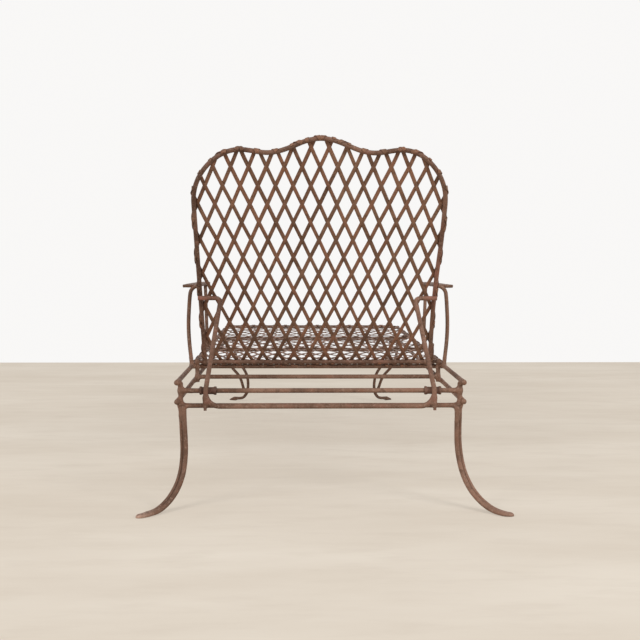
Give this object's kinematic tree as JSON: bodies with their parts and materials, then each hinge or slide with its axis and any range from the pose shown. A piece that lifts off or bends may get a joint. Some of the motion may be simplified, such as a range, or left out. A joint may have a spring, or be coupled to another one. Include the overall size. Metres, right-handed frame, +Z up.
{
  "type": "garden chaise longue",
  "caption": "Iron garden chaise longue: rod frame on curled legs, strip-lattice seat and hinged lattice back with a wavy crest, strap arms and a folding bail that props the back",
  "frame": {"origin": "on the floor under the middle of the overall box", "axes": "+Z up, +Y the way the sitter faces, +X to the sitter's right"},
  "size_m": [0.8388, 1.547, 0.8402],
  "materials": {
    "rod_iron": "aged brown iron, hand forged, rubbed paler on the tops",
    "strip_iron": "dark brown weathered flat strip",
    "worn_iron": "redder rust where pieces rub and turn"
  },
  "bodies": {
    "frame": {"arm_front_upright_left": "rod_iron", "arm_front_upright_right": "rod_iron", "arm_rear_upright_left": "rod_iron", "arm_rear_upright_right": "rod_iron", "arm_strap_left": "rod_iron", "arm_strap_right": "rod_iron", "front_foot_left": "rod_iron", "front_foot_right": "rod_iron", "front_leg_inner_rod_left": "rod_iron", "front_leg_inner_rod_right": "rod_iron", "front_leg_outer_rod_left": "rod_iron", "front_leg_outer_rod_right": "rod_iron", "hinge_crossbar": "rod_iron", "hinge_post_left": "rod_iron", "hinge_post_right": "rod_iron", "lower_front_rail": "rod_iron", "lower_side_rail_left": "rod_iron", "lower_side_rail_right": "rod_iron", "rear_foot_left": "rod_iron", "rear_foot_right": "rod_iron", "rear_leg_inner_rod_left": "rod_iron", "rear_leg_inner_rod_right": "rod_iron", "rear_leg_outer_rod_left": "rod_iron", "rear_leg_outer_rod_right": "rod_iron", "rear_lower_crossbar": "rod_iron", "rear_upper_crossbar": "rod_iron", "seat_crossbar_one": "rod_iron", "seat_crossbar_two": "rod_iron", "seat_rear_rail": "rod_iron", "seat_strips_falling": "strip_iron", "seat_strips_rising": "strip_iron", "upper_front_rail": "rod_iron", "upper_side_rail_left": "rod_iron", "upper_side_rail_right": "rod_iron"},
    "back": {"back_bottom_rail": "rod_iron", "back_rim": "rod_iron", "back_strips_falling": "strip_iron", "back_strips_rising": "strip_iron", "hinge_pin_left": "worn_iron", "hinge_pin_right": "worn_iron"},
    "prop_bail": {"bail_bottom_bar": "worn_iron", "bail_strut_left": "worn_iron", "bail_strut_right": "worn_iron", "pivot_sleeve_left": "worn_iron", "pivot_sleeve_right": "worn_iron"}
  },
  "joints": [
    {"name": "back_fold", "type": "hinge", "parent": "frame", "child": "back", "pos_m": [0, -0.368, 0.2945], "axis": [-1, 0, 0], "range_deg": [0, 112]},
    {"name": "bail_fold", "type": "hinge", "parent": "frame", "child": "prop_bail", "pos_m": [0, -0.666, 0.2665], "axis": [-1, 0, 0], "range_deg": [0, 46]}
  ],
  "couplings": [
    {"joint": "bail_fold", "follows": "back_fold", "ratio": 0.41}
  ]
}
